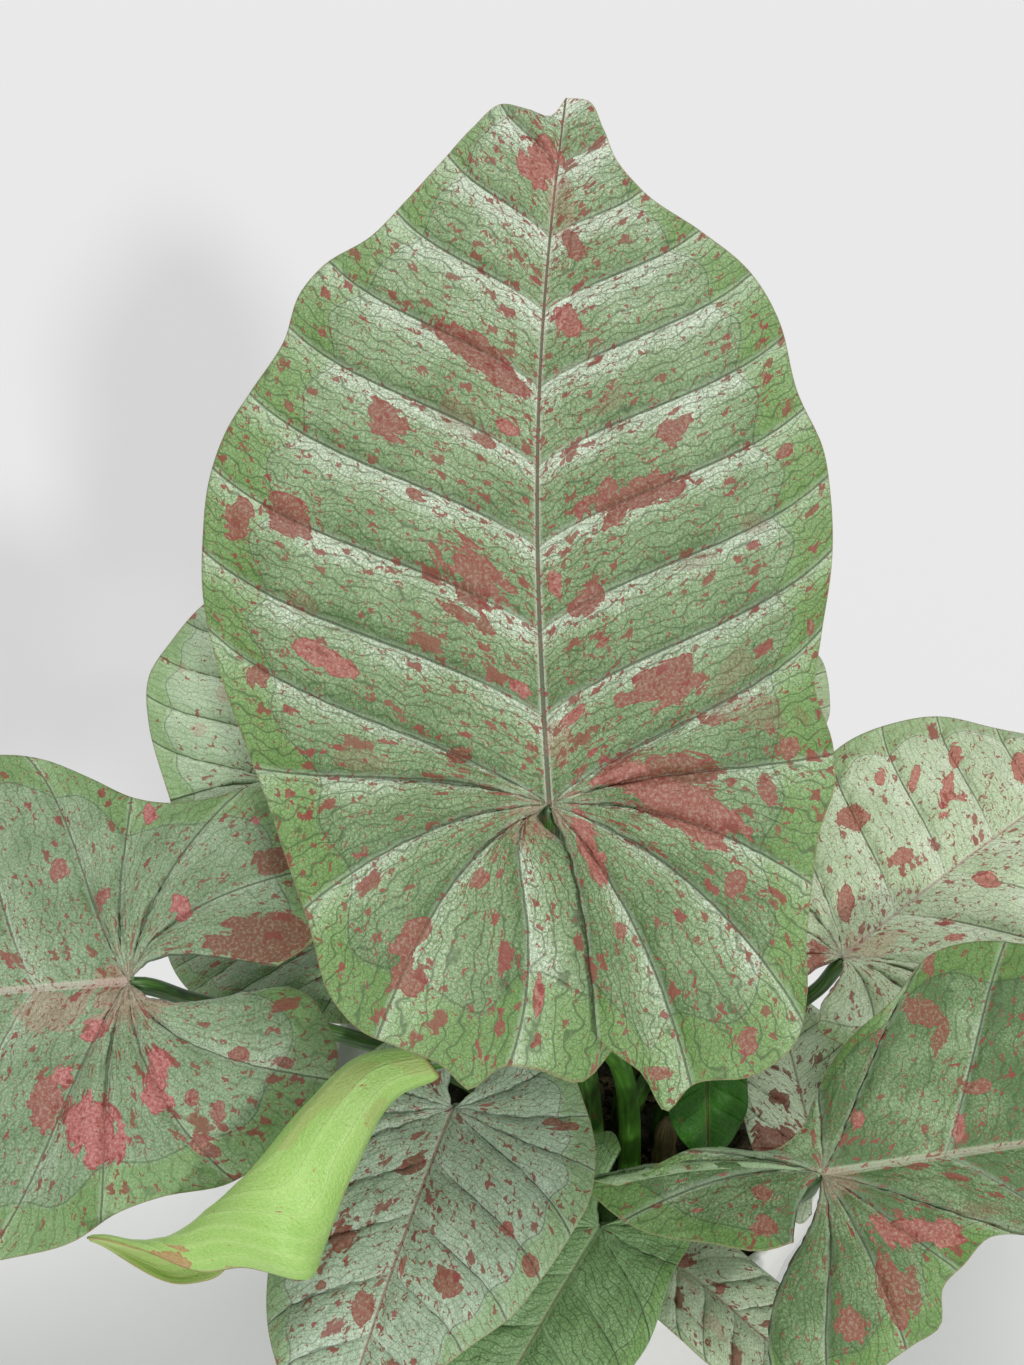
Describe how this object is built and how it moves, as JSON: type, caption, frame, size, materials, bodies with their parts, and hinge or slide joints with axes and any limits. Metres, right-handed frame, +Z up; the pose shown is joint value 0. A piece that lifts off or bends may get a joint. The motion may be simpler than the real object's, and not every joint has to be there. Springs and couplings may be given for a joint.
{
  "type": "potted arrowhead plant",
  "caption": "Arrowhead plant with pale green, pink-splashed arrow-shaped leaves on slender stalks, growing from soil in a plain white tapered pot.",
  "frame": {"origin": "centre of the pot's underside, on the plane that the pot stands on", "axes": "+Z up through the plant, -Y to the plant's front, where the picture looks from, and +X to the right as seen from the front"},
  "size_m": [0.2981, 0.2036, 0.2701],
  "materials": {
    "pot": "plain white moulded plastic, satin",
    "soil": "damp dark potting mix, rough",
    "stem": "green-brown crown stem with dry papery sheaths",
    "petiole": "dark green leaf stalk, satin",
    "new_petiole": "lime green leaf stalk, satin",
    "leaf": "pale mint green leaf splashed and speckled with pink and red, dark net veins, satin",
    "plain_leaf": "plainer green leaf, satin",
    "new_leaf": "smooth lime green new leaf, satin"
  },
  "bodies": {
    "root": {"leaf_a_blade": "leaf", "leaf_a_petiole": "petiole", "leaf_b_blade": "leaf", "leaf_b_petiole": "petiole", "leaf_c_blade": "leaf", "leaf_c_petiole": "petiole", "leaf_d_blade": "leaf", "leaf_d_petiole": "petiole", "leaf_e_blade": "leaf", "leaf_e_petiole": "petiole", "leaf_f_blade": "new_leaf", "leaf_f_petiole": "new_petiole", "leaf_g_blade": "leaf", "leaf_g_petiole": "petiole", "leaf_h_blade": "plain_leaf", "leaf_h_petiole": "petiole", "leaf_i_blade": "leaf", "leaf_i_petiole": "petiole", "leaf_j_blade": "leaf", "leaf_j_petiole": "petiole", "leaf_k_blade": "plain_leaf", "leaf_k_petiole": "petiole", "leaf_l_blade": "leaf", "leaf_l_petiole": "petiole", "leaf_m_blade": "leaf", "leaf_m_petiole": "petiole", "leaf_n_blade": "leaf", "leaf_n_petiole": "petiole", "pot": "pot", "soil": "soil", "stem_1": "stem", "stem_2": "stem", "stem_3": "stem"}
  },
  "joints": []
}
